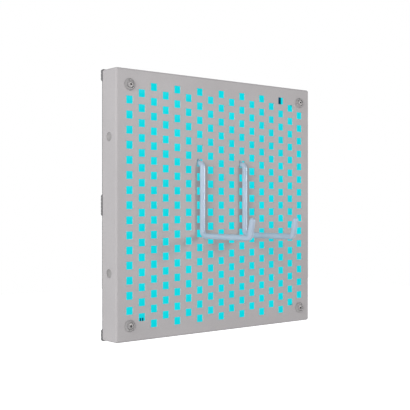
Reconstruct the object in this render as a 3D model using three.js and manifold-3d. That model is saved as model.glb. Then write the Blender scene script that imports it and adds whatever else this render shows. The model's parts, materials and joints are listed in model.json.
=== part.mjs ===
// A square LED light panel with a perforated sheet-metal front and two wire peg hooks.
// Millimetres, +Z up. The front faces -Y, and the origin is the centre of the rear mounting plane,
// which the rear pads and the raised face of the hanger plate share.
import * as THREE from 'three';
import { mergeGeometries, mergeVertices } from 'three/addons/utils/BufferGeometryUtils.js';
import Module from 'manifold-3d';

const wasm = await Module();
wasm.setup();

// Driving dimensions
const PANEL = 312; // width and height
const DEPTH = 29; // front face to the back of the rear cover
const PAD_THICKNESS = 3;
const SHEET = 1; // gauge of the tray and the rear cover
const BEND = 2.5; // outer radius of the folded edges
const CORNER = 3; // outline radius of the corners
const SEAT = 0.1; // gap between stacked faces
const PITCH = 17.2; // window lattice
const WINDOW = 9; // window side
const LAST = 8; // the lattice runs from -8 to 8 pitches
const HOOK_ROOM = 13; // clear depth behind the front for the hook ends
const LIGHT_SHEET = { side: 305, thick: 1.2 };
const BOARD = { side: 290, thick: 1.2 };
const LED = { perSide: 8, pitch: 36, side: 3.5, high: 0.7 };
const SPREADER_THICK = 1.2;
const POST = { wide: 8, slim: 6, bore: 4.3, depth: 9 };
const INLET = { x: 70, fromBack: 10.8, barrel: 8, socket: 5.6, pin: 2 };
const PLUG = { hole: 5.2, body: 5, lip: 6, dish: 3.9, floor: 3.2, sunk: 0.15, deep: 0.8, reach: 2.7 };
const SCREW_BORE = 2.3; // radius of the corner screw holes
const LEAD = { diameter: 1.6, apart: 1.6 };
const WIRE = 7; // diameter of the hook wire
const HOOK_COLUMN = 2; // the hooks hang in the columns two pitches either side of the middle
const HOOK_ROW = 3;
const TILT_CLEARANCE = 0.3; // under the wire in its window

// Places along Y, from the rear mounting plane forwards
const COVER_BACK = -PAD_THICKNESS;
const COVER_FRONT = COVER_BACK - SHEET;
const FRONT = COVER_BACK - DEPTH;
const FASCIA_BACK = FRONT + SHEET;
const LIGHT_FRONT = FASCIA_BACK + HOOK_ROOM;
const LIGHT_BACK = LIGHT_FRONT + LIGHT_SHEET.thick;
const BOARD_FRONT = LIGHT_BACK + 1.9;
const BOARD_BACK = BOARD_FRONT + BOARD.thick;
const SPREADER_FRONT = BOARD_BACK + SEAT;
const SPREADER_BACK = SPREADER_FRONT + SPREADER_THICK;
const MIDDLE = COVER_BACK - DEPTH / 2;
const FASTENER = LAST * PITCH; // distance of the corner fasteners from each centre line
const HALF = PANEL / 2;
const ROUND = 16; // segments of small round pieces

const finish = (color, roughness, metalness = 0) =>
  new THREE.MeshStandardMaterial({ color, roughness, metalness });
const paint = finish(0xbdb9b8, 0.55, 0.1);
const coverPaint = finish(0x8f8c8c, 0.6, 0.1);
const wirePaint = finish(0xb4c4d6, 0.35, 0.1);
const steel = finish(0x9a9796, 0.35, 0.9);
const aluminium = finish(0xb9bcc0, 0.4, 0.9);
const brass = finish(0xb08d4a, 0.35, 0.9);
const rubber = finish(0x4b4a4c, 0.85);
const plug = finish(0xa29d9b, 0.6);
const nylon = finish(0xe4e1d8, 0.6);
const glow = new THREE.MeshStandardMaterial({ color: 0x10e4ee, emissive: 0x10c8d2, roughness: 0.4 });
const solderMask = finish(0xf0f0ec, 0.5);
const greenBoard = finish(0x1f5a3c, 0.5);
const black = finish(0x1b1b1d, 0.5);
const clipBlue = finish(0x0b4a66, 0.5);
const redLead = finish(0xa02020, 0.5);

const light = new THREE.Group();

// Solids

// One closed surface with shared vertices, no collapsed triangles, and its faces pointing out.
function closed(geometry) {
  const source = geometry.clone();
  source.deleteAttribute('normal');
  source.deleteAttribute('uv');
  const merged = mergeVertices(source, 1e-4);
  const index = merged.index.array;
  const kept = [];
  for (let i = 0; i < index.length; i += 3) {
    const [a, b, c] = [index[i], index[i + 1], index[i + 2]];
    if (a !== b && b !== c && c !== a) kept.push(a, b, c);
  }
  merged.setIndex(kept);
  if (volume(merged) < 0) merged.setIndex(kept.reverse());
  merged.computeVertexNormals();
  return merged;
}

function volume(geometry) {
  const at = geometry.attributes.position;
  const index = geometry.index.array;
  const [a, b, c] = [new THREE.Vector3(), new THREE.Vector3(), new THREE.Vector3()];
  let sum = 0;
  for (let i = 0; i < index.length; i += 3) {
    a.fromBufferAttribute(at, index[i]);
    b.fromBufferAttribute(at, index[i + 1]);
    c.fromBufferAttribute(at, index[i + 2]);
    sum += a.dot(b.cross(c)) / 6;
  }
  return sum;
}

function solid(geometry) {
  const shape = closed(geometry);
  const vertProperties = new Float32Array(shape.attributes.position.array);
  const triVerts = new Uint32Array(shape.index.array);
  return new wasm.Manifold(new wasm.Mesh({ numProp: 3, vertProperties, triVerts }));
}

function surface(manifold) {
  const mesh = manifold.getMesh();
  const geometry = new THREE.BufferGeometry();
  geometry.setAttribute('position', new THREE.BufferAttribute(new Float32Array(mesh.vertProperties), 3));
  geometry.setIndex(Array.from(mesh.triVerts));
  geometry.computeVertexNormals();
  return geometry;
}

const cut = (geometry, ...tools) =>
  surface(tools.reduce((body, tool) => body.subtract(solid(tool)), solid(geometry)));
const join = (geometry, ...others) =>
  surface(others.reduce((body, other) => body.add(solid(other)), solid(geometry)));

function place(name, geometry, material) {
  const mesh = new THREE.Mesh(closed(geometry), material);
  mesh.name = name;
  light.add(mesh);
  return mesh;
}

// Shapes

function roundedSquare(side, radius, segments = 3, depth = side) {
  const shape = new THREE.Shape();
  const [x, z] = [side / 2 - radius, depth / 2 - radius];
  for (const [cx, cz, from] of [[x, z, 0], [-x, z, 1], [-x, -z, 2], [x, -z, 3]]) {
    for (let i = 0; i <= segments; i++) {
      const angle = (from + i / segments) * Math.PI / 2;
      const [px, pz] = [cx + radius * Math.cos(angle), cz + radius * Math.sin(angle)];
      if (from === 0 && i === 0) shape.moveTo(px, pz);
      else shape.lineTo(px, pz);
    }
  }
  return shape;
}

// A flat plate parallel to the front, from its rear face forwards. The shape is drawn in X and Z.
function plate(shape, back, thickness) {
  const options = { depth: thickness, bevelEnabled: false };
  return new THREE.ExtrudeGeometry(shape, options).rotateX(Math.PI / 2).translate(0, back, 0);
}

function hole(shape, x, z, radius, segments = ROUND) {
  const path = new THREE.Path();
  for (let i = 0; i < segments; i++) {
    const angle = -i / segments * 2 * Math.PI;
    const [px, pz] = [x + radius * Math.cos(angle), z + radius * Math.sin(angle)];
    if (i === 0) path.moveTo(px, pz);
    else path.lineTo(px, pz);
  }
  shape.holes.push(path);
}

const box = (x, y, z, width, depth, height) =>
  new THREE.BoxGeometry(width, depth, height).translate(x, y, z);

// A turned piece about an axis along Y at (x, z). The profile is [radius, y] pairs.
function turned(profile, x, z, segments = ROUND) {
  const points = profile.map(([radius, y]) => new THREE.Vector2(radius, y));
  return new THREE.LatheGeometry(points, segments).translate(x, 0, z);
}

const ring = (outer, inner, from, to, x, z) =>
  turned([[inner, from], [outer, from], [outer, to], [inner, to], [inner, from]], x, z, 12);

// A path that keeps its own stations, so that straight runs take no more of them than they need.
class Stations extends THREE.Curve {
  constructor(points) {
    super();
    this.points = points;
  }

  getPoint(t, target = new THREE.Vector3()) {
    const at = t * (this.points.length - 1);
    const i = Math.min(Math.floor(at), this.points.length - 2);
    return target.lerpVectors(this.points[i], this.points[i + 1], at - i);
  }

  getPointAt(u, target) {
    return this.getPoint(u, target);
  }

  getTangentAt(u, target = new THREE.Vector3()) {
    const i = Math.round(u * (this.points.length - 1));
    const before = this.points[Math.max(i - 1, 0)];
    const here = this.points[i];
    const after = this.points[Math.min(i + 1, this.points.length - 1)];
    const into = here.clone().sub(before).normalize();
    const out = after.clone().sub(here).normalize();
    return target.copy(into.add(out)).normalize();
  }
}

function tube(points, diameter, sides) {
  const section = new THREE.Shape();
  for (let i = 0; i < sides; i++) {
    const angle = (i + 0.5) / sides * 2 * Math.PI;
    const [x, y] = [diameter / 2 * Math.cos(angle), diameter / 2 * Math.sin(angle)];
    if (i === 0) section.moveTo(x, y);
    else section.lineTo(x, y);
  }
  const extrudePath = new Stations(points);
  return new THREE.ExtrudeGeometry(section, { steps: points.length - 1, extrudePath, bevelEnabled: false });
}

const corners = [['top_left', -1, 1], ['top_right', 1, 1], ['bottom_left', -1, -1], ['bottom_right', 1, -1]];

// Front tray

// Centres of the windows. Every second column is shifted by half a pitch, and the four outermost
// places of the lattice hold the corner fasteners.
function windowCentres() {
  const centres = [];
  for (let column = -LAST; column <= LAST; column++) {
    const top = column % 2 === 0 ? LAST : LAST - 0.5;
    for (let row = -top; row <= top; row++) {
      const isFastener = Math.abs(column) === LAST && Math.abs(row) === LAST;
      if (!isFastener) centres.push([column * PITCH, row * PITCH]);
    }
  }
  return centres;
}

// A block with rounded outline corners and a rounded front edge, from the plane y = front backwards.
function foldedBlock(side, front, radius, outline) {
  const options = {
    depth: 2 * DEPTH,
    bevelThickness: radius,
    bevelSize: radius,
    bevelSegments: 3,
  };
  const shape = roundedSquare(side - 2 * radius, Math.max(outline - radius, 0.3));
  const block = new THREE.ExtrudeGeometry(shape, options).rotateX(Math.PI / 2);
  return block.translate(0, front + radius + 2 * DEPTH, 0);
}

function frontTray() {
  const outer = foldedBlock(PANEL, FRONT, BEND, CORNER);
  const inner = foldedBlock(PANEL - 2 * SHEET, FASCIA_BACK, BEND - SHEET, CORNER - SHEET);
  const open = COVER_FRONT - SEAT;
  const behind = box(0, open + 2 * DEPTH, 0, 2 * PANEL, 4 * DEPTH, 2 * PANEL);
  const windows = windowCentres().map(([x, z]) => box(x, FRONT, z, WINDOW, 4 * SHEET, WINDOW));
  const sideHoles = [];
  for (const z of [-PANEL / 4, PANEL / 4]) {
    const bar = new THREE.CylinderGeometry(PLUG.hole, PLUG.hole, PANEL + 10, ROUND).rotateZ(Math.PI / 2);
    sideHoles.push(bar.translate(0, MIDDLE, z));
  }
  const [ahead, inward] = [FRONT - 5, FASCIA_BACK + 5];
  const through = [[0, ahead], [SCREW_BORE, ahead], [SCREW_BORE, inward], [0, inward]];
  const screwHoles = corners.map(([, sx, sz]) => turned(through, sx * FASTENER, sz * FASTENER, 12));
  const inletRadius = INLET.barrel / 2 + 0.3;
  const inletDrill = new THREE.CylinderGeometry(inletRadius, inletRadius, 20, ROUND).rotateX(Math.PI / 2);
  inletDrill.translate(INLET.x, -INLET.fromBack, -HALF);
  const tools = [mergeGeometries(windows.map(closed)), ...sideHoles, ...screwHoles, inletDrill];
  const shell = cut(outer, behind, inner);
  return cut(shell, ...tools);
}

place('front_tray', frontTray(), paint);

// Rear cover, with vents and a clearance behind each keyhole

const KEYHOLE = { x: 30, z: -6, head: 4.5, neck: 2.3, rise: 14 };
const HANGER_SCREW = { x: 54, z: 20, bore: 1.8 };
const VENT = { x: 62, first: 80, step: 9, count: 5, long: 60, high: 3 };

// A drill along Y through the rear of the light.
const drill = (radius, x, z, segments = ROUND) =>
  turned([[0, -8], [radius, -8], [radius, 5], [0, 5]], x, z, segments);

function rearCover() {
  const openings = [];
  for (const side of [-1, 1]) {
    openings.push(box(side * KEYHOLE.x, COVER_BACK, KEYHOLE.z + KEYHOLE.rise / 2, 14, 4 * SHEET, 30));
    for (const x of [-VENT.x, VENT.x]) {
      for (let i = 0; i < VENT.count; i++) {
        const z = side * (VENT.first + VENT.step * i);
        openings.push(box(x, COVER_BACK, z, VENT.long, 4 * SHEET, VENT.high));
      }
    }
  }
  for (const [, sx, sz] of corners) {
    openings.push(drill(SCREW_BORE, sx * FASTENER, sz * FASTENER, 12));
    openings.push(drill(HANGER_SCREW.bore, sx * HANGER_SCREW.x, sz * HANGER_SCREW.z, 10));
  }
  return cut(plate(roundedSquare(PANEL, CORNER), COVER_BACK, SHEET), mergeGeometries(openings.map(closed)));
}

place('rear_cover', rearCover(), coverPaint);

// Sheets inside: light sheet, LED board and heat spreader

function withPostHoles(shape) {
  for (const [, sx, sz] of corners) hole(shape, sx * FASTENER, sz * FASTENER, POST.slim / 2 + 0.3, 12);
  return shape;
}

// The board and the spreader step back around the inlet, in the middle of their bottom edge's right half.
function notchedSquare(side) {
  const [half, notch, rise] = [side / 2, 12, 14];
  const shape = new THREE.Shape();
  shape.moveTo(-half, -half);
  shape.lineTo(INLET.x - notch, -half);
  shape.lineTo(INLET.x - notch, -half + rise);
  shape.lineTo(INLET.x + notch, -half + rise);
  shape.lineTo(INLET.x + notch, -half);
  shape.lineTo(half, -half);
  shape.lineTo(half, half);
  shape.lineTo(-half, half);
  return shape;
}

function ledBoard() {
  const board = plate(withPostHoles(notchedSquare(BOARD.side)), BOARD_BACK, BOARD.thick);
  const chips = [];
  for (let column = 0; column < LED.perSide; column++) {
    for (let row = 0; row < LED.perSide; row++) {
      const [x, z] = [column, row].map((i) => (i - (LED.perSide - 1) / 2) * LED.pitch);
      chips.push(closed(box(x, BOARD_FRONT, z, LED.side, 2 * LED.high, LED.side)));
    }
  }
  return join(board, mergeGeometries(chips));
}

const SPREADER_HOLE = { x: 5, z: -72, radius: 4.5 };

function heatSpreader() {
  const shape = withPostHoles(notchedSquare(BOARD.side));
  hole(shape, SPREADER_HOLE.x, SPREADER_HOLE.z, SPREADER_HOLE.radius);
  return plate(shape, SPREADER_BACK, SPREADER_THICK);
}

const lightShape = withPostHoles(roundedSquare(LIGHT_SHEET.side, 2));
place('light_sheet', plate(lightShape, LIGHT_BACK, LIGHT_SHEET.thick), glow);
place('led_board', ledBoard(), solderMask);
place('heat_spreader', heatSpreader(), aluminium);

// Corner fastening: cup washer, screw, stepped post, two spacers, cover screw and rear pad

const CUP_SEAT = 1.2; // height of the screw's seat in the cup washer

function cupWasher(x, z) {
  const [out, top, seat, bore] = [7, 5, 4.4, SCREW_BORE];
  const [edge, high] = [0.5, 2.1];
  const back = FRONT - SEAT;
  const profile = [
    [bore, back], [out, back], [out, back - edge], [top, back - high], [seat, back - high],
    [seat, back - CUP_SEAT], [bore, back - CUP_SEAT], [bore, back],
  ];
  return turned(profile, x, z);
}

function cornerScrew(x, z) {
  const seat = FRONT - SEAT - CUP_SEAT - SEAT;
  const [head, high, shank, socket, deep] = [4.1, 1.8, 2, 1.6, 1.3];
  const profile = [
    [0, seat - high + deep], [socket, seat - high + deep], [socket, seat - high], [2.6, seat - high],
    [head, seat - 0.7], [head, seat], [shank, seat], [shank, seat + 9.5], [0, seat + 9.5],
  ];
  return turned(profile, x, z, 12);
}

function cornerPost(x, z) {
  const [front, back] = [FASCIA_BACK + SEAT, COVER_FRONT - SEAT];
  const shoulder = LIGHT_FRONT - SEAT;
  const bore = POST.bore / 2;
  const profile = [
    [0, front + POST.depth], [bore, front + POST.depth], [bore, front], [POST.wide / 2, front],
    [POST.wide / 2, shoulder], [POST.slim / 2, shoulder], [POST.slim / 2, back], [bore, back],
    [bore, back - POST.depth], [0, back - POST.depth],
  ];
  return turned(profile, x, z, 12);
}

function coverScrew(x, z) {
  const seat = COVER_BACK + SEAT;
  const [head, high, shank, socket, deep] = [3.8, 1.9, 2, 1.4, 1];
  const profile = [
    [0, seat + high - deep], [socket, seat + high - deep], [socket, seat + high], [2.7, seat + high],
    [head, seat + 0.9], [head, seat], [shank, seat], [shank, seat - 8], [0, seat - 8],
  ];
  return turned(profile, x, z, 12);
}

const PAD = { long: 25, wide: 12, tall: 14, over: 1 };

// The corner pads stand a little past the top and bottom edges.
function cornerPad(sx, sz) {
  const [x, z] = [HALF - PAD.wide / 2, HALF + PAD.over - PAD.tall / 2];
  return plate(roundedSquare(PAD.wide, CORNER, 3, PAD.tall), 0, PAD_THICKNESS - SEAT)
    .translate(sx * x, 0, sz * z);
}

for (const [corner, sx, sz] of corners) {
  const [x, z] = [sx * FASTENER, sz * FASTENER];
  const [outer, inner] = [4.5, POST.slim / 2 + 0.2];
  place(`corner_cup_washer_${corner}`, cupWasher(x, z), steel);
  place(`corner_screw_${corner}`, cornerScrew(x, z), steel);
  place(`corner_post_${corner}`, cornerPost(x, z), aluminium);
  place(`board_spacer_${corner}`, ring(outer, inner, LIGHT_BACK + SEAT, BOARD_FRONT - SEAT, x, z), nylon);
  place(`rear_spacer_${corner}`, ring(outer, inner, SPREADER_BACK + SEAT, COVER_FRONT - SEAT, x, z), nylon);
  place(`cover_screw_${corner}`, coverScrew(x, z), steel);
  place(`corner_pad_${corner}`, cornerPad(sx, sz), rubber);
}

for (const [side, sx] of [['left', -1], ['right', 1]]) {
  const shape = roundedSquare(PAD.wide, 2, 3, PAD.long);
  const pad = plate(shape, 0, PAD_THICKNESS - SEAT).translate(sx * (HALF - PAD.wide / 2), 0, 0);
  place(`side_pad_${side}`, pad, rubber);
}

// Side plugs: a dished face flush with the wall, and a wider lip behind it

function sidePlug(sx, z) {
  const [face, lip, end] = [HALF - PLUG.sunk, HALF - SHEET - PLUG.sunk, HALF - PLUG.reach];
  const profile = [
    [0, face - PLUG.deep], [PLUG.floor, face - PLUG.deep], [PLUG.dish, face], [PLUG.body, face],
    [PLUG.body, lip], [PLUG.lip, lip], [PLUG.lip, end], [0, end],
  ];
  const points = profile.map(([radius, along]) => new THREE.Vector2(radius, along));
  const geometry = new THREE.LatheGeometry(points, ROUND).rotateZ(-sx * Math.PI / 2);
  return geometry.translate(0, MIDDLE, z);
}

for (const [side, sx] of [['left', -1], ['right', 1]]) {
  place(`side_plug_${side}_upper`, sidePlug(sx, PANEL / 4), plug);
  place(`side_plug_${side}_lower`, sidePlug(sx, -PANEL / 4), plug);
}

// Sheet clips: small U clips over the top and bottom edges of the light sheet

// The section is drawn in Y and height above the sheet's middle, and it runs along X.
function sheetClip(x, width, frontReach, direction) {
  const edge = LIGHT_SHEET.side / 2 + 0.2;
  const [thick, gap] = [0.9, 0.1];
  const [front, back] = [LIGHT_FRONT - gap, LIGHT_BACK + gap];
  const outline = [
    [front - thick, frontReach], [front, frontReach], [front, edge], [back, edge],
    [back, edge - 5.5], [back + thick, edge - 5.5], [back + thick, edge + thick],
    [front - thick, edge + thick],
  ];
  const shape = new THREE.Shape(outline.map(([y, z]) => new THREE.Vector2(y, direction * z)));
  const section = new THREE.ExtrudeGeometry(shape, { depth: width, bevelEnabled: false });
  // Turns drawn (y, z, along) into world (along, y, z).
  const turn = new THREE.Matrix4().set(0, 0, 1, x - width / 2, 1, 0, 0, 0, 0, 1, 0, 0, 0, 0, 0, 1);
  return section.applyMatrix4(turn);
}

const TOP_CLIP = { x: 113.6, width: 4.4, reach: 133 };
const BOTTOM_CLIP = { x: -111.7, width: 5, reach: 132, gap: 1.8 };

const bottomClip = sheetClip(BOTTOM_CLIP.x, BOTTOM_CLIP.width, BOTTOM_CLIP.reach, -1);
const fork = box(BOTTOM_CLIP.x, LIGHT_FRONT - 1, -BOTTOM_CLIP.reach, BOTTOM_CLIP.gap, 3, 16);
place('sheet_clip_top', sheetClip(TOP_CLIP.x, TOP_CLIP.width, TOP_CLIP.reach, 1), clipBlue);
place('sheet_clip_bottom', cut(bottomClip, fork), clipBlue);

// Lit rim: it stands on the edge of the light sheet and reaches the back of the front.

function lightRim() {
  const [back, depth] = [LIGHT_FRONT - SEAT, HOOK_ROOM - 2 * SEAT];
  const inside = LIGHT_SHEET.side - 2 * LIGHT_SHEET.thick;
  const outer = plate(roundedSquare(LIGHT_SHEET.side, 2), back, depth);
  const inner = plate(roundedSquare(inside, 0.8), back + depth, 3 * depth);
  const notch = ({ x, width }, direction) =>
    box(x, back, direction * LIGHT_SHEET.side / 2, width + 0.8, 2.6, 4 * LIGHT_SHEET.thick);
  return cut(outer, inner, notch(TOP_CLIP, 1), notch(BOTTOM_CLIP, -1));
}

place('light_rim', lightRim(), glow);

// Driver: a small board behind the heat spreader, with its components on its rear face

const DRIVER = { x: 62, z: -84, width: 88, height: 42, thick: 1.4 };
const DRIVER_FRONT = SPREADER_BACK + 0.4;
const DRIVER_BACK = DRIVER_FRONT + DRIVER.thick;
const PART_HIGH = 4.4;
const INPUT = { x: DRIVER.x + 36, z: DRIVER.z - 15 };
const OUTPUT = { x: DRIVER.x - 38, z: SPREADER_HOLE.z };

const component = (x, z, width, height) =>
  box(x, DRIVER_BACK + SEAT + PART_HIGH / 2, z, width, PART_HIGH, height);

function inductor() {
  const shape = roundedSquare(12, 2.5);
  const back = DRIVER_BACK + SEAT + PART_HIGH;
  return plate(shape, back, PART_HIGH).translate(DRIVER.x, 0, DRIVER.z + 4);
}

function capacitor() {
  const [front, back] = [DRIVER_BACK + SEAT, DRIVER_BACK + SEAT + PART_HIGH];
  const profile = [[0, front], [4, front], [4, back - 0.4], [3.6, back], [0, back]];
  return turned(profile, DRIVER.x + 20, DRIVER.z + 4);
}

const driverShape = roundedSquare(DRIVER.width, 1.5, 3, DRIVER.height);
const driverPlate = plate(driverShape, DRIVER_BACK, DRIVER.thick).translate(DRIVER.x, 0, DRIVER.z);
place('driver_board', driverPlate, greenBoard);
place('driver_inductor', inductor(), black);
place('driver_capacitor', capacitor(), aluminium);
place('input_terminal', component(INPUT.x, INPUT.z, 9, 8), nylon);
place('output_terminal', component(OUTPUT.x, OUTPUT.z, 7, 9), nylon);

// Low-voltage inlet in the bottom wall, and its nut

const NUT_TOP = -HALF + SHEET + 2.2;

function inlet() {
  const [flange, barrel, socket, pin] = [5.5, INLET.barrel / 2, INLET.socket / 2, INLET.pin / 2];
  const [mouth, wall, top] = [-HALF - 1, -HALF - SEAT, -HALF + 13];
  const profile = [
    [0, mouth + 1.2], [pin, mouth + 1.2], [pin, mouth + 10], [socket, mouth + 10], [socket, mouth],
    [flange, mouth], [flange, wall], [barrel, wall], [barrel, top], [0, top],
  ];
  return standing(profile, ROUND);
}

// A turned piece about the vertical axis of the inlet.
function standing(profile, segments) {
  const points = profile.map(([radius, z]) => new THREE.Vector2(radius, z));
  const geometry = new THREE.LatheGeometry(points, segments).rotateX(Math.PI / 2);
  return geometry.translate(INLET.x, -INLET.fromBack, 0);
}

function inletNut() {
  const [under, bore] = [-HALF + SHEET + SEAT, INLET.barrel / 2 + 0.2];
  const hexagon = standing([[0, under], [6, under], [6, NUT_TOP], [0, NUT_TOP]], 6);
  const [low, high] = [under - 1, NUT_TOP + 1];
  return cut(hexagon, standing([[0, low], [bore, low], [bore, high], [0, high]], ROUND));
}

place('dc_inlet', inlet(), black);
place('inlet_nut', inletNut(), brass);

// Leads: inlet to driver, and driver to LED board through the heat spreader

function lead(points, steps) {
  const curve = new THREE.CatmullRomCurve3(points.map((p) => new THREE.Vector3(...p)), false, 'centripetal');
  return tube(curve.getPoints(steps), LEAD.diameter, 6);
}

for (const [polarity, side, material] of [['positive', -1, redLead], ['negative', 1, black]]) {
  const [y, shift] = [DRIVER_BACK + 2.4, side * LEAD.apart];
  const inletTop = -HALF + 13.3;
  const supply = [
    [INLET.x + shift, -INLET.fromBack, inletTop],
    [INLET.x + shift + 0.8, -INLET.fromBack + 0.8, inletTop + 6],
    [INPUT.x - 12 + shift, y, INPUT.z - 18 - shift],
    [INPUT.x + shift, y, INPUT.z - 10 - shift / 2],
    [INPUT.x + shift, y, INPUT.z - 4.3],
  ];
  const output = [
    [OUTPUT.x - 3.8, y, OUTPUT.z + shift],
    [OUTPUT.x - 10, y, OUTPUT.z + shift],
    [SPREADER_HOLE.x + 1, y - 1.5, SPREADER_HOLE.z + shift],
    [SPREADER_HOLE.x - 0.8, SPREADER_BACK - 0.4, SPREADER_HOLE.z + shift],
    [SPREADER_HOLE.x - 0.8, BOARD_BACK + 0.1, SPREADER_HOLE.z + shift],
  ];
  place(`supply_lead_${polarity}`, lead(supply, 14), material);
  place(`led_lead_${polarity}`, lead(output, 12), material);
}

// Hanger plate: a raised middle with two keyholes, flanges against the cover, and four flat screws

const HANGER = { raised: 90, wide: 126, tall: 64, thick: 1.6, slope: 1.2 };

function hangerPlate() {
  const [wing, thick, foot] = [HANGER.wide / 2, HANGER.thick, COVER_BACK + SEAT];
  const bend = HANGER.raised / 2;
  const top = bend - HANGER.slope;
  const inside = top - 1.4;
  const outline = [
    [-wing, foot], [-top, foot], [-inside, -thick], [inside, -thick], [top, foot], [wing, foot],
    [wing, foot + thick], [bend, foot + thick], [top, 0], [-top, 0], [-bend, foot + thick],
    [-wing, foot + thick],
  ];
  const shape = new THREE.Shape(outline.map(([x, y]) => new THREE.Vector2(x, y)));
  const section = new THREE.ExtrudeGeometry(shape, { depth: HANGER.tall, bevelEnabled: false });
  section.translate(0, 0, -HANGER.tall / 2);
  const tools = [];
  for (const side of [-1, 1]) {
    const x = side * KEYHOLE.x;
    const neck = box(x, 0, KEYHOLE.z + KEYHOLE.rise / 2, 2 * KEYHOLE.neck, 20, KEYHOLE.rise);
    tools.push(drill(KEYHOLE.head, x, KEYHOLE.z), neck, drill(KEYHOLE.neck, x, KEYHOLE.z + KEYHOLE.rise));
  }
  for (const [, sx, sz] of corners) {
    tools.push(drill(HANGER_SCREW.bore, sx * HANGER_SCREW.x, sz * HANGER_SCREW.z));
  }
  return cut(section, ...tools);
}

function hangerScrew(x, z) {
  const seat = COVER_BACK + SEAT + HANGER.thick + SEAT;
  const profile = [
    [0, seat + 0.5], [1.1, seat + 0.5], [1.1, seat + 1], [2.4, seat + 1], [3, seat + 0.4], [3, seat],
    [1.5, seat], [1.5, seat - 5], [0, seat - 5],
  ];
  return turned(profile, x, z, 12);
}

place('hanger_plate', hangerPlate(), steel);
for (const [corner, sx, sz] of corners) {
  place(`hanger_screw_${corner}`, hangerScrew(sx * HANGER_SCREW.x, sz * HANGER_SCREW.z), steel);
}

// Wire hooks

// Points of a turn in the YZ plane, from one heading to another, both in degrees from -Y towards +Z.
function bendPoints(centre, radius, from, to, segments = 5) {
  const points = [];
  for (let i = 0; i <= segments; i++) {
    const angle = THREE.MathUtils.degToRad(from + (to - from) * i / segments);
    points.push([centre[0] - radius * Math.cos(angle), centre[1] + radius * Math.sin(angle)]);
  }
  return points;
}

// The wire's centre line as [y, z]: up behind the front, out through the window, down the leg,
// forwards along the prong and up its tip.
function hookPath() {
  const windowCentre = HOOK_ROW * PITCH;
  const entry = windowCentre - WINDOW / 2 + TILT_CLEARANCE + WIRE / 2;
  const end = { y: FASCIA_BACK + 0.3 + WIRE / 2, bend: 4.5, top: windowCentre + 7.5 };
  const leg = { y: FRONT - 5.1, bend: 5.2 };
  const prong = { z: -37.4, bend: 7 };
  const tip = { y: FRONT - 95, z: -14.4, lean: 13, bend: 5 };
  const lean = THREE.MathUtils.degToRad(tip.lean);
  const rise = tip.z - prong.z - tip.bend * (1 - Math.sin(lean));
  const tipBend = tip.y + rise * Math.tan(lean) + tip.bend * Math.cos(lean);
  return [
    [end.y, end.top],
    ...bendPoints([end.y - end.bend, entry + end.bend], end.bend, 180, 270),
    ...bendPoints([leg.y + leg.bend, entry - leg.bend], leg.bend, 90, 0),
    ...bendPoints([leg.y - prong.bend, prong.z + prong.bend], prong.bend, 180, 270),
    ...bendPoints([tipBend, prong.z + tip.bend], tip.bend, 270, 360 - tip.lean),
    [tip.y, tip.z],
  ];
}

for (const [side, sx] of [['left', -1], ['right', 1]]) {
  const points = hookPath().map(([y, z]) => new THREE.Vector3(sx * HOOK_COLUMN * PITCH, y, z));
  place(`${side}_wire_hook`, tube(points, WIRE, 10), wirePaint);
}

export default light;
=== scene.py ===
"""Looks of the LED grow light panel: fine meshes, materials, floor, light and camera."""
import json
import math

import bmesh
import bpy
from mathutils import Matrix, Vector


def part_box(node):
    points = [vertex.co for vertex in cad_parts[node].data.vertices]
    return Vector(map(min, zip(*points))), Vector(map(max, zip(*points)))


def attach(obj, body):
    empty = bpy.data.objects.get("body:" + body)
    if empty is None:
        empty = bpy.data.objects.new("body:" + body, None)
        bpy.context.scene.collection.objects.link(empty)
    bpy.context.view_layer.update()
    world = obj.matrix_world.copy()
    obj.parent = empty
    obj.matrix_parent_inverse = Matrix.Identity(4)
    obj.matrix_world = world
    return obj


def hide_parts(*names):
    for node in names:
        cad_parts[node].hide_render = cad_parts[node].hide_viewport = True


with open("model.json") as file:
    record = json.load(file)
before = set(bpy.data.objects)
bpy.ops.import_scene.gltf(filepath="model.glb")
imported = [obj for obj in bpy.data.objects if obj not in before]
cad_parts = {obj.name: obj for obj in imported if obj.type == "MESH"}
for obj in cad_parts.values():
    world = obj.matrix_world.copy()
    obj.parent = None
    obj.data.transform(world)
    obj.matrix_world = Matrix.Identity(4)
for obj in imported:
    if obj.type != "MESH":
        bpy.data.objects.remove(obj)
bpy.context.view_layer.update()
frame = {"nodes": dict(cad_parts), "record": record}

# ---------------------------------------------------------------- sizes, in metres, from the frame

MM = 0.001
TRAY_LOW, TRAY_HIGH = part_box("front_tray")
COVER_LOW, COVER_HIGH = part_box("rear_cover")
PANEL = TRAY_HIGH.x - TRAY_LOW.x
HALF = PANEL / 2
FRONT = TRAY_LOW.y
TRAY_BACK = TRAY_HIGH.y
SHEET = COVER_HIGH.y - COVER_LOW.y
PITCH = 17.2 * MM
WINDOW = 9 * MM
LAST = 8  # the window lattice runs from -8 to 8 pitches
FOLD = 2.5 * MM
FASTENER = LAST * PITCH  # distance of the corner fasteners from each centre line
PLUG_LOW, PLUG_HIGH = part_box("side_plug_left_upper")
MIDDLE_Y = (PLUG_LOW.y + PLUG_HIGH.y) / 2
PLUG_Z = PANEL / 4
INLET_LOW, INLET_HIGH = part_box("dc_inlet")
INLET_AT = ((INLET_LOW.x + INLET_HIGH.x) / 2, (INLET_LOW.y + INLET_HIGH.y) / 2, 0)
SCREW_HOLE, PLUG_HOLE, INLET_HOLE, HANGER_HOLE = 2.3 * MM, 5.2 * MM, 4.3 * MM, 1.8 * MM  # radii
THROUGH = 5 * MM  # how far a cutter reaches past the face it starts from
REAR_CUT = -8 * MM  # where the cutters for the rear sheets start, inside the panel
CORNERS = (
    ("top_left", -1, 1), ("top_right", 1, 1), ("bottom_left", -1, -1), ("bottom_right", 1, -1),
)
SIDES = (("left", -1), ("right", 1))


# ---------------------------------------------------------------- mesh helpers

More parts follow.
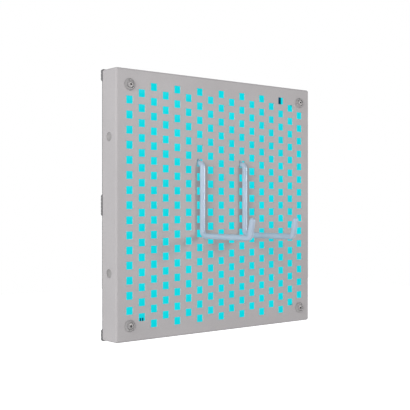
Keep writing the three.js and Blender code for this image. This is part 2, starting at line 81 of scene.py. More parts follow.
def make_object(name, bm, sharp=35):
    """An object from a bmesh, smooth except where faces meet at more than the given angle."""
    bmesh.ops.recalc_face_normals(bm, faces=bm.faces)
    mesh = bpy.data.meshes.new(name)
    bm.to_mesh(mesh)
    bm.free()
    obj = bpy.data.objects.new(name, mesh)
    bpy.context.scene.collection.objects.link(obj)
    shade(obj, sharp)
    return obj


def shade(obj, sharp=35):
    """Smooth shading, except at edges of more than the given angle."""
    mesh = obj.data
    mesh.polygons.foreach_set("use_smooth", [True] * len(mesh.polygons))
    mesh.set_sharp_from_angle(angle=math.radians(sharp))
    mesh.update()


def apply_modifiers(obj):
    """Keeps what the modifiers make as the object's own mesh."""
    graph = bpy.context.evaluated_depsgraph_get()
    made = bpy.data.meshes.new_from_object(obj.evaluated_get(graph))
    old = obj.data
    obj.modifiers.clear()
    obj.data = made
    bpy.data.meshes.remove(old)
    return obj


def soften(obj, width, segments=2, angle=40):
    """Breaks the sharp edges, as paint and tumbling do."""
    bevel = obj.modifiers.new("soften", "BEVEL")
    bevel.width, bevel.segments = width, segments
    bevel.limit_method, bevel.angle_limit = "ANGLE", math.radians(angle)
    bevel.use_clamp_overlap = True
    apply_modifiers(obj)
    shade(obj)
    return flatten(obj)


def flatten(obj):
    """Lets the wide flat faces set the normals, so that rounded edges don't shade across them."""
    weighted = obj.modifiers.new("flatten", "WEIGHTED_NORMAL")
    weighted.weight, weighted.keep_sharp = 100, True
    return apply_modifiers(obj)


def cut_out(obj, cutters):
    """Cuts each cutter out of the object, and removes the cutter."""
    for cutter in cutters:
        boolean = obj.modifiers.new("cut", "BOOLEAN")
        boolean.operation, boolean.solver, boolean.object = "DIFFERENCE", "EXACT", cutter
        apply_modifiers(obj)
        bpy.data.objects.remove(cutter)


def revolve(profile, segments=48):
    """A closed surface of revolution about Z from (radius, height) pairs."""
    bm = bmesh.new()
    rings = []
    for radius, height in profile:
        if radius == 0:
            rings.append([bm.verts.new((0, 0, height))] * segments)
            continue
        turn = [2 * math.pi * i / segments for i in range(segments)]
        rings.append([
            bm.verts.new((radius * math.cos(a), radius * math.sin(a), height)) for a in turn
        ])
    for low, high in zip(rings, rings[1:]):
        for i in range(segments):
            j = (i + 1) % segments
            corners = list(dict.fromkeys((low[i], low[j], high[j], high[i])))
            if len(corners) > 2:
                bm.faces.new(corners)
    return bm


def rounded(profile, radius, steps=4):
    """The profile with each inner corner cut by an arc-like curve of about the given size."""
    made = [profile[0]]
    for before, here, after in zip(profile, profile[1:], profile[2:]):
        a, b, c = Vector(before), Vector(here), Vector(after)
        reach = min(radius, (a - b).length / 2.2, (c - b).length / 2.2)
        start, end = b + (a - b).normalized() * reach, b + (c - b).normalized() * reach
        for i in range(steps + 1):
            t = i / steps
            made.append(tuple(start * (1 - t) ** 2 + b * 2 * t * (1 - t) + end * t * t))
    made.append(profile[-1])
    return made


def box_mesh(bm, low, high):
    """Adds a box between two opposite corners."""
    matrix = Matrix.Translation((Vector(low) + Vector(high)) / 2)
    size = Vector(high) - Vector(low)
    matrix = matrix @ Matrix.Diagonal((size.x, size.y, size.z, 1))
    bmesh.ops.create_cube(bm, size=1, matrix=matrix)


def stadium(width, height, steps=8):
    """Outline of a slot with round ends, lying along X."""
    radius, straight = height / 2, width / 2 - height / 2
    outline = []
    for centre, start in ((straight, -90), (-straight, 90)):
        for i in range(steps + 1):
            angle = math.radians(start + 180 * i / steps)
            outline.append((centre + radius * math.cos(angle), radius * math.sin(angle)))
    return outline


def rounded_outline(width, height, radius, steps=6):
    """Outline of a rectangle with round corners."""
    outline = []
    for sx, sz, start in ((1, 1, 0), (-1, 1, 90), (-1, -1, 180), (1, -1, 270)):
        for i in range(steps + 1):
            angle = math.radians(start + 90 * i / steps)
            outline.append((
                sx * (width / 2 - radius) + radius * math.cos(angle),
                sz * (height / 2 - radius) + radius * math.sin(angle),
            ))
    return outline


def prism(bm, first, second):
    """A closed solid between two loops of vertices."""
    bm.faces.new(first)
    bm.faces.new(list(reversed(second)))
    for i in range(len(first)):
        j = (i + 1) % len(first)
        bm.faces.new((first[j], first[i], second[i], second[j]))


def slab(bm, outline, y_front, y_back, at=(0, 0)):
    """A flat plate parallel to the front, from an outline in X and Z."""
    front = [bm.verts.new((x + at[0], y_front, z + at[1])) for x, z in outline]
    back = [bm.verts.new((x + at[0], y_back, z + at[1])) for x, z in outline]
    prism(bm, front, back)


def lay(bm, axis, at):
    """Turns the mesh's own +Z to the given direction and moves it to the given place."""
    turn = Vector((0, 0, 1)).rotation_difference(Vector(axis)).to_matrix().to_4x4()
    bmesh.ops.transform(bm, matrix=Matrix.Translation(at) @ turn, verts=bm.verts)


def tool(bm):
    """An object to cut with."""
    return make_object("cutter", bm)


def stand_for(obj, body, material, node):
    """Gives a piece its material and body, and hides the CAD node that it stands for."""
    obj.data.materials.clear()
    obj.data.materials.append(material)
    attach(obj, body)
    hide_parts(node)


# ---------------------------------------------------------------- materials

class Look:
    """A Principled material whose colour, roughness and bump come from procedural noise."""

    def __init__(self, name, metallic=0.0):
        self.material = bpy.data.materials.new(name)
        self.material.use_nodes = True
        tree = self.material.node_tree
        self.nodes, self.links = tree.nodes, tree.links
        self.shader = self.nodes["Principled BSDF"]
        self.shader.inputs["Metallic"].default_value = metallic
        self.place = self.nodes.new("ShaderNodeTexCoord").outputs["Object"]

    def node(self, kind, **values):
        made = self.nodes.new(kind)
        for name, value in values.items():
            setattr(made, name, value)
        return made

    def join(self, source, target):
        self.links.new(source, target)

    def stretched(self, x, y, z):
        mapping = self.node("ShaderNodeMapping")
        mapping.inputs["Scale"].default_value = (x, y, z)
        self.join(self.place, mapping.inputs["Vector"])
        return mapping.outputs["Vector"]

    def noise(self, scale, detail=3, rough=0.5, place=None):
        made = self.node("ShaderNodeTexNoise")
        made.inputs["Scale"].default_value = scale
        made.inputs["Detail"].default_value = detail
        made.inputs["Roughness"].default_value = rough
        self.join(place or self.place, made.inputs["Vector"])
        return made.outputs["Fac"]

    def ramp(self, source, *stops):
        made = self.node("ShaderNodeValToRGB")
        elements = made.color_ramp.elements
        while len(elements) < len(stops):
            elements.new(0.5)
        for element, (position, colour) in zip(elements, stops):
            element.position = position
            rgb = colour if isinstance(colour, tuple) else (colour, colour, colour)
            element.color = (*rgb, 1)
        self.join(source, made.inputs["Fac"])
        return made.outputs["Color"]

    def mix(self, factor, a, b, blend="MIX"):
        made = self.node("ShaderNodeMix", data_type="RGBA", blend_type=blend)
        for value, socket in ((factor, made.inputs[0]), (a, made.inputs[6]), (b, made.inputs[7])):
            if isinstance(value, (int, float)):
                socket.default_value = value
            elif isinstance(value, tuple):
                socket.default_value = (*value, 1)
            else:
                self.join(value, socket)
        return made.outputs[2]

    def colour(self, source):
        self.join(source, self.shader.inputs["Base Color"])

    def roughness(self, source, low, high):
        made = self.node("ShaderNodeMapRange")
        made.inputs["To Min"].default_value, made.inputs["To Max"].default_value = low, high
        self.join(source, made.inputs["Value"])
        self.join(made.outputs["Result"], self.shader.inputs["Roughness"])

    def bump(self, source, height, strength=1.0):
        made = self.node("ShaderNodeBump")
        made.inputs["Strength"].default_value = strength
        made.inputs["Distance"].default_value = height
        self.join(source, made.inputs["Height"])
        self.join(made.outputs["Normal"], self.shader.inputs["Normal"])


def shade_of(colour, factor):
    return tuple(min(1.0, c * factor) for c in colour)


def powder_coat(name, colour, roughness):
    """Fine orange peel, a little dust in the colour and slow changes in gloss."""
    look = Look(name)
    look.shader.inputs["Specular IOR Level"].default_value = 0.4
    cloud = look.noise(9, 4, 0.6)
    speck = look.noise(1400, 2, 0.7)
    base = look.ramp(cloud, (0.3, shade_of(colour, 0.955)), (0.7, shade_of(colour, 1.03)))
    dust = look.ramp(speck, (0.36, 0.9), (0.5, 1.0))
    look.colour(look.mix(1.0, base, dust, "MULTIPLY"))
    look.roughness(look.noise(40, 3), roughness - 0.07, roughness + 0.07)
    look.bump(look.noise(750, 3, 0.55), 0.035 * MM)
    return look.material


def moulded(name, colour, roughness, grain=1100, height=0.03 * MM):
    """Moulded plastic or rubber: fine spark-eroded grain with scuffs that dull it."""
    look = Look(name)
    fine = look.noise(grain, 3, 0.6)
    scuff = look.noise(85, 4, 0.65)
    look.colour(look.ramp(scuff, (0.35, shade_of(colour, 0.86)), (0.7, shade_of(colour, 1.12))))
    look.roughness(fine, roughness - 0.1, roughness + 0.1)
    look.bump(fine, height)
    return look.material


def brushed(name, colour, roughness, along="x"):
    """Metal with fine lines along one axis and a little tarnish."""
    look = Look(name, metallic=1.0)
    scale = {"x": (40, 2600, 2600), "z": (2600, 2600, 40)}[along]
    lines = look.noise(1.0, 4, 0.6, look.stretched(*scale))
    tarnish = look.noise(60, 4, 0.6)
    base = look.ramp(tarnish, (0.3, shade_of(colour, 0.82)), (0.7, shade_of(colour, 1.08)))
    streak = look.ramp(lines, (0.25, 0.86), (0.75, 1.0))
    look.colour(look.mix(1.0, base, streak, "MULTIPLY"))
    look.roughness(lines, roughness - 0.09, roughness + 0.12)
    look.bump(lines, 0.01 * MM, 0.6)
    return look.material


def plated(name, colour):
    """Zinc plating, mottled and a little dull."""
    look = Look(name, metallic=0.5)
    mottle = look.noise(260, 4, 0.6)
    look.colour(look.ramp(mottle, (0.35, shade_of(colour, 0.88)), (0.65, shade_of(colour, 1.08))))
    look.roughness(look.noise(700, 3), 0.46, 0.56)
    look.bump(look.noise(1500, 2), 0.012 * MM)
    return look.material


def wire_coat_and_painted_cyan_bounce():
    """Glossy grey coating, a little uneven where the wire was dipped; its blue tint is painted
    reflection of the cyan light from the lit sheet.
    """
    look = Look("wire_coat_and_painted_cyan_bounce", metallic=0.25)
    # grey paint with painted reflection: the blue in this colour stands in for cyan light from the
    # lit sheet
    colour = (0.43, 0.52, 0.62)
    run = look.noise(38, 3, 0.55)
    look.colour(look.ramp(run, (0.3, shade_of(colour, 0.94)), (0.7, shade_of(colour, 1.04))))
    look.roughness(run, 0.31, 0.39)
    look.bump(look.noise(160, 2, 0.5), 0.02 * MM)
    return look.material


def lit_sheet():
    """Cyan diffuser: it glows in soft uneven spots, and its surface is finely uneven."""
    look = Look("lit_cyan_sheet")
    cell = look.node("ShaderNodeTexVoronoi", feature="F1")
    cell.inputs["Scale"].default_value = 1 / (2 * PITCH)
    look.join(look.place, cell.inputs["Vector"])
    bright, dim = (0.004, 0.80, 0.88), (0.004, 0.72, 0.80)
    spot = look.ramp(cell.outputs["Distance"], (0.0, bright), (0.75, dim))
    cloud = look.ramp(look.noise(16, 2), (0.3, 0.95), (0.7, 1.0))
    glow = look.mix(1.0, spot, cloud, "MULTIPLY")
    look.join(glow, look.shader.inputs["Emission Color"])
    look.shader.inputs["Emission Strength"].default_value = GLOW
    look.colour(look.mix(1.0, spot, (0.08, 0.08, 0.08), "MULTIPLY"))
    look.shader.inputs["Specular IOR Level"].default_value = 0.2
    look.roughness(look.noise(900, 2), 0.5, 0.65)
    look.bump(look.noise(700, 2), 0.03 * MM)
    return look.material


def circuit(name, colour):
    """Solder mask over faint copper tracks."""
    look = Look(name)
    brick = look.node("ShaderNodeTexBrick")
    brick.inputs["Scale"].default_value = 60
    brick.inputs["Mortar Size"].default_value = 0.03
    brick.inputs["Color1"].default_value = (*colour, 1)
    brick.inputs["Color2"].default_value = (*shade_of(colour, 0.93), 1)
    brick.inputs["Mortar"].default_value = (*shade_of(colour, 1.25), 1)
    turn = look.node("ShaderNodeMapping")
    turn.inputs["Rotation"].default_value = (math.radians(90), 0, 0)
    look.join(look.place, turn.inputs["Vector"])
    look.join(turn.outputs["Vector"], brick.inputs["Vector"])
    look.colour(brick.outputs["Color"])
    look.roughness(look.noise(200, 3), 0.35, 0.5)
    look.bump(brick.outputs["Fac"], 0.02 * MM, 0.5)
    return look.material


GLOW = 0.93
PAINT_GREY = (0.415, 0.398, 0.398)

tray_paint = powder_coat("tray_powder_coat", PAINT_GREY, 0.52)
cover_paint = powder_coat("cover_powder_coat", (0.14, 0.137, 0.137), 0.55)
wire_paint = wire_coat_and_painted_cyan_bounce()
sheet_glow = lit_sheet()
zinc = plated("zinc_plating", (0.41, 0.398, 0.392))
plate_zinc = brushed("galvanised_plate", (0.42, 0.42, 0.43), 0.4)
bare_aluminium = brushed("mill_aluminium", (0.62, 0.63, 0.65), 0.38, "z")
turned_brass = brushed("turned_brass", (0.55, 0.40, 0.16), 0.4)
pad_rubber = moulded("pad_rubber", (0.17, 0.168, 0.17), 0.8, 700, 0.06 * MM)
plug_plastic = moulded("plug_plastic", (0.30, 0.29, 0.285), 0.6)
black_plastic = moulded("black_plastic", (0.018, 0.018, 0.02), 0.45)
natural_nylon = moulded("natural_nylon", (0.62, 0.60, 0.55), 0.5)
clip_plastic = moulded("clip_plastic", (0.008, 0.13, 0.26), 0.5)
red_insulation = moulded("red_insulation", (0.32, 0.02, 0.02), 0.45)
white_board = circuit("white_led_board", (0.72, 0.72, 0.70))
green_board = circuit("green_driver_board", (0.02, 0.13, 0.06))

BY_SLOT = {
    "tray_paint": tray_paint, "cover_paint": cover_paint, "light_sheet": sheet_glow,
    "hardware_steel": zinc, "wire_paint": wire_paint, "aluminium": bare_aluminium,
    "board_white": white_board, "board_green": green_board, "nylon": natural_nylon,
    "black_plastic": black_plastic, "pad_rubber": pad_rubber, "plug_plastic": plug_plastic,
    "clip_blue": clip_plastic, "brass": turned_brass, "red_insulation": red_insulation,
}
for part in frame["record"]["subparts"]:
    node = frame["nodes"][part["node"]]
    for material_slot in node.material_slots:
        material_slot.material = BY_SLOT[part["material_slot"]]


# ---------------------------------------------------------------- front tray

def is_window(x, z):
    """Whether a point of the face is open: staggered square windows, none in the corners."""
    column = round(x / PITCH)
    shift = (column % 2) / 2
    row = round(z / PITCH - shift) + shift
    inside = max(abs(x - column * PITCH), abs(z - row * PITCH)) < WINDOW / 2
    corner = abs(column) == LAST and abs(row) == LAST
    return inside and abs(column) <= LAST and abs(row) <= LAST and not corner


def folded_sheet():
    """The outer skin of the tray: the perforated face and the four walls, with round folds."""
    across = [u * PITCH + edge * WINDOW / 2 for u in range(-LAST, LAST + 1) for edge in (-1, 1)]
    half_rows = range(-2 * LAST, 2 * LAST + 1)
    up = [k * PITCH / 2 + edge * WINDOW / 2 for k in half_rows for edge in (-1, 1)]
    xs, zs = [[-HALF, *sorted(lines), HALF] for lines in (across, up)]
    bm = bmesh.new()
    face = [[bm.verts.new((x, FRONT, z)) for z in zs] for x in xs]
    last_x, last_z = len(xs) - 1, len(zs) - 1
    wall = {}
    for i, x in enumerate(xs):
        for j, z in enumerate(zs):
            if i in (0, last_x) or j in (0, last_z):
                wall[i, j] = bm.verts.new((x, TRAY_BACK, z))
    for i in range(last_x):
        for j in range(last_z):
            if not is_window((xs[i] + xs[i + 1]) / 2, (zs[j] + zs[j + 1]) / 2):
                bm.faces.new((face[i][j], face[i + 1][j], face[i + 1][j + 1], face[i][j + 1]))
    for i in range(last_x):
        for j in (0, last_z):
            bm.faces.new((face[i][j], face[i + 1][j], wall[i + 1, j], wall[i, j]))
    for j in range(last_z):
        for i in (0, last_x):
            bm.faces.new((face[i][j], face[i][j + 1], wall[i, j + 1], wall[i, j]))
    bmesh.ops.recalc_face_normals(bm, faces=bm.faces)
    folds = [e for e in bm.edges if len(e.link_faces) == 2 and e.calc_face_angle() > 1]
    bmesh.ops.bevel(bm, geom=folds, offset=FOLD, segments=6, profile=0.5, affect="EDGES")
    return bm


def round_tool(radius, low, high, axis, at):
    """A cylinder for cutting, along X, Y or Z."""
    bm = revolve([(0, low), (radius, low), (radius, high), (0, high)])
    turn = {
        "X": Matrix.Rotation(math.radians(90), 4, "Y"),
        "Y": Matrix.Rotation(math.radians(-90), 4, "X"),
        "Z": Matrix.Identity(4),
    }[axis]
    bmesh.ops.transform(bm, matrix=Matrix.Translation(at) @ turn, verts=bm.verts)
    return tool(bm)


def front_tray():
    obj = make_object("front_tray_fine", folded_sheet(), 30)
    solid = obj.modifiers.new("gauge", "SOLIDIFY")
    solid.thickness, solid.offset, solid.use_even_offset = SHEET, -1, True
    apply_modifiers(obj)
    soften(obj, 0.22 * MM, 2, 60)
    cutters = []
    for _, sx, sz in CORNERS:
        at = (sx * FASTENER, 0, sz * FASTENER)
        cutters.append(round_tool(SCREW_HOLE, FRONT - THROUGH, FRONT + THROUGH, "Y", at))
    for z in (-PLUG_Z, PLUG_Z):
        at = (0, MIDDLE_Y, z)
        cutters.append(round_tool(PLUG_HOLE, -HALF - THROUGH, HALF + THROUGH, "X", at))
    cutters.append(round_tool(INLET_HOLE, -HALF - THROUGH, -HALF + THROUGH, "Z", INLET_AT))
    cut_out(obj, cutters)
    shade(obj, 30)
    return flatten(obj)


stand_for(front_tray(), "panel", tray_paint, "front_tray")


# ---------------------------------------------------------------- fasteners and plugs on the tray

def turned_piece(name, profile, axis, at):
    """A turned piece whose own +Z is laid along the given direction from the given place."""
    bm = revolve(profile)
    lay(bm, axis, at)
    return make_object(name, bm)


def mm(profile):
    """A profile in metres from one in millimetres."""
    return [(r * MM, h * MM) for r, h in profile]


def hex_tool(across, low, high, axis, at):
    """A six-sided cutter of the given width across flats."""
    radius = across / math.sqrt(3)
    bm = revolve([(0, low), (radius, low), (radius, high), (0, high)], 6)
    lay(bm, axis, at)
    return tool(bm)


def corner_fastener(corner, sx, sz):
    """A cup washer with a domed socket screw in it."""
    at, outwards = (sx * FASTENER, FRONT, sz * FASTENER), (0, -1, 0)
    cup = [(2.3, 0.1), (7, 0.1), (7, 0.55), (5.05, 2.2), (4.4, 2.2), (4.3, 1.3), (2.3, 1.3),
           (2.3, 0.1)]
    washer = turned_piece(f"cup_washer_{corner}", rounded(mm(cup), 0.35 * MM), outwards, at)
    stand_for(washer, "panel", zinc, f"corner_cup_washer_{corner}")
    head = [(0, -8.1), (1.9, -8.1), (1.9, 1.4), (4.05, 1.4), (4.05, 1.9), (3.5, 2.6), (2.4, 3.05),
            (0, 3.15)]
    screw = turned_piece(f"socket_screw_{corner}", rounded(mm(head), 0.35 * MM), outwards, at)
    socket_across, socket_floor = 3 * MM, 0.7 * MM
    cut_out(screw, [hex_tool(socket_across, socket_floor, THROUGH, outwards, at)])
    shade(screw)
    stand_for(screw, "panel", zinc, f"corner_screw_{corner}")


for corner in CORNERS:
    corner_fastener(*corner)


def side_plug(side, sx, level, z):
    """A snap plug: a rim flush with the wall, a shallow dish in it and a lip behind the wall."""
    dish = [(0, -0.95), (3.2, -0.95), (3.9, -0.15), (4.98, -0.15), (4.98, -1.35), (5.95, -1.35),
            (5.95, -2.65), (0, -2.65)]
    plug = turned_piece(f"snap_plug_{side}_{level}", rounded(mm(dish), 0.3 * MM), (sx, 0, 0),
                        (sx * HALF, MIDDLE_Y, z))
    stand_for(plug, "panel", plug_plastic, f"side_plug_{side}_{level}")


for side, sx in SIDES:
    side_plug(side, sx, "upper", PLUG_Z)
    side_plug(side, sx, "lower", -PLUG_Z)


# ---------------------------------------------------------------- rear: cover, pads, hanger plate

KEYHOLE = {"x": 30 * MM, "z": -6 * MM, "head": 4.5 * MM, "neck": 2.3 * MM, "rise": 14 * MM}
KEYHOLE_WINDOW = {"width": 14 * MM, "height": 30 * MM, "radius": 2 * MM}  # in the rear cover
HANGER_SCREW = {"x": 54 * MM, "z": 20 * MM}
VENT_X, VENT_LONG, VENT_HIGH = 62 * MM, 60 * MM, 3 * MM
VENT_ROWS = [(80 + 9 * i) * MM for i in range(5)]
GROOVE_DEEP, GROOVE_HALF = 0.5 * MM, 0.45 * MM  # the tread of the pads
# head radius, head height, shank radius and width of the cross recess
COVER_SCREW_SIZE = (3.75 * MM, 1.9 * MM, 1.9 * MM, 0.8 * MM)
HANGER_SCREW_SIZE = (2.95 * MM, 1.0 * MM, 1.45 * MM, 0.6 * MM)


def rear_cover():
    """The flat rear sheet with its vents, the windows over the keyholes and the screw holes."""
    bm = bmesh.new()
    slab(bm, rounded_outline(PANEL, PANEL, 3 * MM), COVER_LOW.y, COVER_HIGH.y)
    obj = make_object("rear_cover_fine", bm)
    openings = bmesh.new()
    span = (COVER_LOW.y - MM, COVER_HIGH.y + MM)
    for side in (-1, 1):
        for x in (-VENT_X, VENT_X):
            for z in VENT_ROWS:
                slab(openings, stadium(VENT_LONG, VENT_HIGH), *span, (x, side * z))
        at = (side * KEYHOLE["x"], KEYHOLE["z"] + KEYHOLE["rise"] / 2)
        slab(openings, rounded_outline(**KEYHOLE_WINDOW), *span, at)
    cutters = [tool(openings)]
    holes = (
        (SCREW_HOLE, FASTENER, FASTENER),
        (HANGER_HOLE, HANGER_SCREW["x"], HANGER_SCREW["z"]),
    )
    for _, sx, sz in CORNERS:
        for radius, x, z in holes:
            cutters.append(round_tool(radius, REAR_CUT, 0, "Y", (sx * x, 0, sz * z)))
    cut_out(obj, cutters)
    return soften(obj, 0.18 * MM)


def pad(node, name):
    """A rubber pad with round edges, a shallow tread and its own outline."""
    low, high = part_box(node)
    width, height = high.x - low.x, high.z - low.z
    centre = ((low.x + high.x) / 2, (low.z + high.z) / 2)
    bm = bmesh.new()
    slab(bm, rounded_outline(width, height, 2.6 * MM), low.y, high.y, centre)
    obj = make_object(name, bm)
    grooves = bmesh.new()
    count = max(2, round(height / (4 * MM)) - 1)
    for i in range(count):
        z = low.z + (i + 1) * height / (count + 1)
        box_mesh(
            grooves,
            (low.x - MM, high.y - GROOVE_DEEP, z - GROOVE_HALF),
            (high.x + MM, high.y + MM, z + GROOVE_HALF),
        )
    cut_out(obj, [tool(grooves)])
    soften(obj, 0.3 * MM, 3)
    stand_for(obj, "panel", pad_rubber, node)


stand_for(rear_cover(), "panel", cover_paint, "rear_cover")
for corner, _, _ in CORNERS:
    pad(f"corner_pad_{corner}", f"rubber_pad_{corner}")
for side, _ in SIDES:
    pad(f"side_pad_{side}", f"rubber_pad_{side}")


def hanger_plate():
    """A plate with a raised middle, two keyholes in it and a flat wing at each side."""
    low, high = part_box("hanger_plate")
    wing, thick = (high.x - low.x) / 2, 1.6 * MM
    foot, face = low.y, high.y
    raised, slope, inner_slope, bend = 45 * MM, 1.2 * MM, 2.6 * MM, 0.9 * MM
    front = [(-wing, foot), (-raised + slope, foot), (-raised + inner_slope, face - thick),
             (raised - inner_slope, face - thick), (raised - slope, foot), (wing, foot)]
    back = [(wing, foot + thick), (raised, foot + thick), (raised - slope, face),
            (-raised + slope, face), (-raised, foot + thick), (-wing, foot + thick)]
    outline = rounded(front, bend) + rounded(back, bend)
    bm = bmesh.new()
    bottom = [bm.verts.new((x, y, low.z)) for x, y in outline]
    top = [bm.verts.new((x, y, high.z)) for x, y in outline]
    prism(bm, bottom, top)
    obj = make_object("hanger_plate_fine", bm)
    cutters = []
    for side in (-1, 1):
        x, z, top_z = side * KEYHOLE["x"], KEYHOLE["z"], KEYHOLE["z"] + KEYHOLE["rise"]
        cutters.append(round_tool(KEYHOLE["head"], REAR_CUT, THROUGH, "Y", (x, 0, z)))
        cutters.append(round_tool(KEYHOLE["neck"], REAR_CUT, THROUGH, "Y", (x, 0, top_z)))
        neck = bmesh.new()
        box_mesh(neck, (x - KEYHOLE["neck"], REAR_CUT, z), (x + KEYHOLE["neck"], THROUGH, top_z))
        cutters.append(tool(neck))
    for _, sx, sz in CORNERS:
        at = (sx * HANGER_SCREW["x"], 0, sz * HANGER_SCREW["z"])
        cutters.append(round_tool(HANGER_HOLE, REAR_CUT, THROUGH, "Y", at))
    cut_out(obj, cutters)
    soften(obj, 0.15 * MM)
    stand_for(obj, "panel", plate_zinc, "hanger_plate")


def rear_screw(name, node, head, high, shank, slot_width):
    """A domed screw in the rear with a cross recess."""
    low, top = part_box(node)
    at = ((low.x + top.x) / 2, 0, (low.z + top.z) / 2)
    seat = top.y - high
    profile = [(0, low.y), (shank, low.y), (shank, seat), (head, seat), (head, seat + 0.35 * high),
               (head * 0.72, top.y - 0.1 * high), (0, top.y)]
    screw = turned_piece(name, rounded(profile, 0.3 * MM), (0, 1, 0), at)
    recess_floor = top.y - 0.6 * high
    slot_reach = head * 0.6
    slots = []
    for across, up in ((slot_reach, slot_width / 2), (slot_width / 2, slot_reach)):
        slot = bmesh.new()
        box_mesh(slot, (at[0] - across, recess_floor, at[2] - up),
                 (at[0] + across, top.y + MM, at[2] + up))
        slots.append(tool(slot))
    cut_out(screw, slots)
    shade(screw)
    stand_for(screw, "panel", zinc, node)


hanger_plate()
for corner, _, _ in CORNERS:
    rear_screw(f"cover_screw_fine_{corner}", f"cover_screw_{corner}", *COVER_SCREW_SIZE)
    rear_screw(f"hanger_screw_fine_{corner}", f"hanger_screw_{corner}", *HANGER_SCREW_SIZE)


# ---------------------------------------------------------------- inlet

def inlet():
    """The socket in the bottom wall, with its centre pin and its collar outside."""
    mouth, wall, top = INLET_LOW.z, -HALF - 0.1 * MM, INLET_HIGH.z
    profile = [(0, mouth + 1.2 * MM), (MM, mouth + 1.2 * MM), (MM, mouth + 10 * MM),
               (2.8 * MM, mouth + 10 * MM), (2.8 * MM, mouth), (5.48 * MM, mouth), (5.48 * MM, wall),
               (3.98 * MM, wall), (3.98 * MM, top), (0, top)]
    obj = turned_piece("inlet_fine", rounded(profile, 0.25 * MM), (0, 0, 1), INLET_AT)
    stand_for(obj, "panel", black_plastic, "dc_inlet")


inlet()


# ---------------------------------------------------------------- wire hooks

WIRE = 7 * MM
HOOK_COLUMN, HOOK_ROW = 2, 3  # the hooks' windows, in pitches from the middle of the panel
CLEARANCE = 0.3 * MM  # between the wire and the sheet, under it and behind it
TIP_LEAN = 13  # degrees


def arc(centre, radius, start, end, steps=14):
    """Points in Y and Z on a turn; angles go from -Y towards +Z."""
    made = []
    for i in range(steps + 1):
        angle = math.radians(start + (end - start) * i / steps)
        made.append((centre[0] - radius * math.cos(angle), centre[1] + radius * math.sin(angle)))
    return made


def hook_line():
    """The wire's centre line, from behind the face to the tip of the prong."""
    window = HOOK_ROW * PITCH
    entry = window - WINDOW / 2 + CLEARANCE + WIRE / 2
    end_y, end_bend, end_rise = FRONT + SHEET + CLEARANCE + WIRE / 2, 4.5 * MM, 7.5 * MM
    leg, leg_bend = FRONT - 5.1 * MM, 5.2 * MM
    prong, prong_bend = -37.4 * MM, 7 * MM
    tip_y, tip_z, tip_bend = FRONT - 95 * MM, -14.4 * MM, 5 * MM
    lean = math.radians(TIP_LEAN)
    rise = tip_z - prong - tip_bend * (1 - math.sin(lean))
    tip_start = tip_y + rise * math.tan(lean) + tip_bend * math.cos(lean)
    line = [(end_y, window + end_rise)]
    line += arc((end_y - end_bend, entry + end_bend), end_bend, 180, 270)
    line += arc((leg + leg_bend, entry - leg_bend), leg_bend, 90, 0)
    line += arc((leg - prong_bend, prong + prong_bend), prong_bend, 180, 270)
    line += arc((tip_start, prong + tip_bend), tip_bend, 270, 360 - TIP_LEAN)
    line.append((tip_y, tip_z))
    return [Vector((0, y, z)) for y, z in line]


def wire(name, line, radius, sides=32):
    """A round wire along a line in the YZ plane, with domed ends that stop at the line's ends."""
    bm = bmesh.new()
    rings = []

    def add_ring(centre, along, size):
        across = Vector((1, 0, 0))
        up = along.cross(across).normalized()
        turn = [2 * math.pi * i / sides for i in range(sides)]
        rings.append([
            bm.verts.new(centre + size * (math.cos(a) * across + math.sin(a) * up)) for a in turn
        ])

    start_along = (line[1] - line[0]).normalized()
    end_along = (line[-1] - line[-2]).normalized()
    domes = [math.radians(a) for a in (8, 22, 38, 54, 70)]
    inner = [line[0] + start_along * radius, *line[1:-1], line[-1] - end_along * radius]
    for angle in domes:
        centre = inner[0] - start_along * radius * math.cos(angle)
        add_ring(centre, start_along, radius * math.sin(angle))
    for i, point in enumerate(inner):
        before = (point - inner[i - 1]).normalized() if i else start_along
        after = (inner[i + 1] - point).normalized() if i + 1 < len(inner) else end_along
        add_ring(point, (before + after).normalized(), radius)
    for angle in reversed(domes):
        centre = inner[-1] + end_along * radius * math.cos(angle)
        add_ring(centre, end_along, radius * math.sin(angle))
    for low, high in zip(rings, rings[1:]):
        for i in range(sides):
            j = (i + 1) % sides
            bm.faces.new((low[i], low[j], high[j], high[i]))
    bm.faces.new(list(reversed(rings[0])))
    bm.faces.new(rings[-1])
    return make_object(name, bm, 60)


for side, sx in SIDES:
    line = [point + Vector((sx * HOOK_COLUMN * PITCH, 0, 0)) for point in hook_line()]
    hook = wire(f"{side}_hook_wire", line, WIRE / 2)
    stand_for(hook, f"{side}_hook", wire_paint, f"{side}_wire_hook")


# ---------------------------------------------------------------- floor, backdrop, light and camera

VIEW = Vector((0.6351, 0.7724, 0))  # the camera's direction
FLOOR_Z = -1.15


def beyond(look, vector, start, end):
    """A ramp from 0 to 1 between two distances along the camera's direction."""
    dot = look.node("ShaderNodeVectorMath", operation="DOT_PRODUCT")
    look.join(vector, dot.inputs[0])
    dot.inputs[1].default_value = VIEW
    ramp = look.node("ShaderNodeMapRange", interpolation_type="SMOOTHSTEP")
    ramp.inputs["From Min"].default_value, ramp.inputs["From Max"].default_value = start, end
    look.join(dot.outputs["Value"], ramp.inputs["Value"])
    return ramp.outputs["Result"]


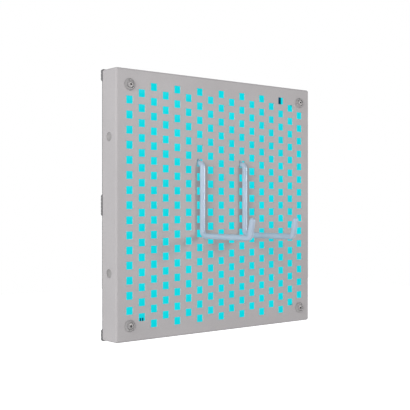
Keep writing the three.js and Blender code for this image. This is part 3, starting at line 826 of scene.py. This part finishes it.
def floor():
    """A pale floor that brightens towards the far side of the studio."""
    bm = bmesh.new()
    bmesh.ops.create_grid(bm, x_segments=8, y_segments=8, size=9)
    bmesh.ops.translate(bm, verts=bm.verts, vec=(0, 0, FLOOR_Z))
    obj = make_object("floor", bm)
    look = Look("pale_floor")
    cloud = look.noise(1.5, 2)
    look.colour(look.ramp(cloud, (0.3, 0.84), (0.7, 0.86)))
    look.roughness(cloud, 0.85, 0.95)
    look.shader.inputs["Specular IOR Level"].default_value = 0.1
    look.shader.inputs["Emission Color"].default_value = (1, 1, 1, 1)
    look.join(beyond(look, look.place, 0.6, 2.0), look.shader.inputs["Emission Strength"])
    obj.data.materials.append(look.material)


def area_light(name, at, size, power, colour=(1, 1, 1), glossy=True):
    """A round lamp that looks at the origin. Without glossy it leaves no highlight."""
    data = bpy.data.lights.new(name, "AREA")
    data.shape, data.size, data.energy, data.color = "DISK", size, power, colour
    obj = bpy.data.objects.new(name, data)
    obj.location = at
    obj.rotation_euler = (-Vector(at)).to_track_quat("-Z", "Y").to_euler()
    obj.visible_glossy = glossy
    bpy.context.scene.collection.objects.link(obj)


class Sky(Look):
    """The studio's surroundings: white at the far side, dimmer around and overhead."""

    def __init__(self, around, overhead):
        self.world = bpy.data.worlds.new("studio")
        self.world.use_nodes = True
        self.nodes, self.links = self.world.node_tree.nodes, self.world.node_tree.links
        background = self.nodes["Background"]
        direction = self.nodes.new("ShaderNodeTexCoord").outputs["Generated"]
        height = self.node("ShaderNodeSeparateXYZ")
        self.join(direction, height.inputs[0])
        level = self.node("ShaderNodeMath", operation="ABSOLUTE")
        self.join(height.outputs["Z"], level.inputs[0])
        dim = self.ramp(level.outputs[0], (0.0, around), (0.85, overhead))
        far = beyond(self, direction, 0.55, 0.8)
        self.join(self.mix(far, dim, (1.0, 1.0, 1.0)), background.inputs["Color"])
        bpy.context.scene.world = self.world


floor()
Sky((0.42, 0.42, 0.45), (0.30, 0.31, 0.33))
area_light("key", (0.95, -1.55, 0.30), 0.5, 10.5, (1, 0.975, 0.95))
area_light("side_fill", (-1.6, -0.7, 0.35), 1.3, 30, glossy=False)

camera_data = bpy.data.cameras.new("camera")
camera_data.lens, camera_data.sensor_width = 74.02, 36
camera = bpy.data.objects.new("camera", camera_data)
camera.location = (-0.68116, FRONT - 0.79612, 0.0002)
camera.rotation_euler = (math.radians(90), 0, math.radians(-39.43))
bpy.context.scene.collection.objects.link(camera)
bpy.context.scene.camera = camera
bpy.context.scene.view_settings.view_transform = "Standard"
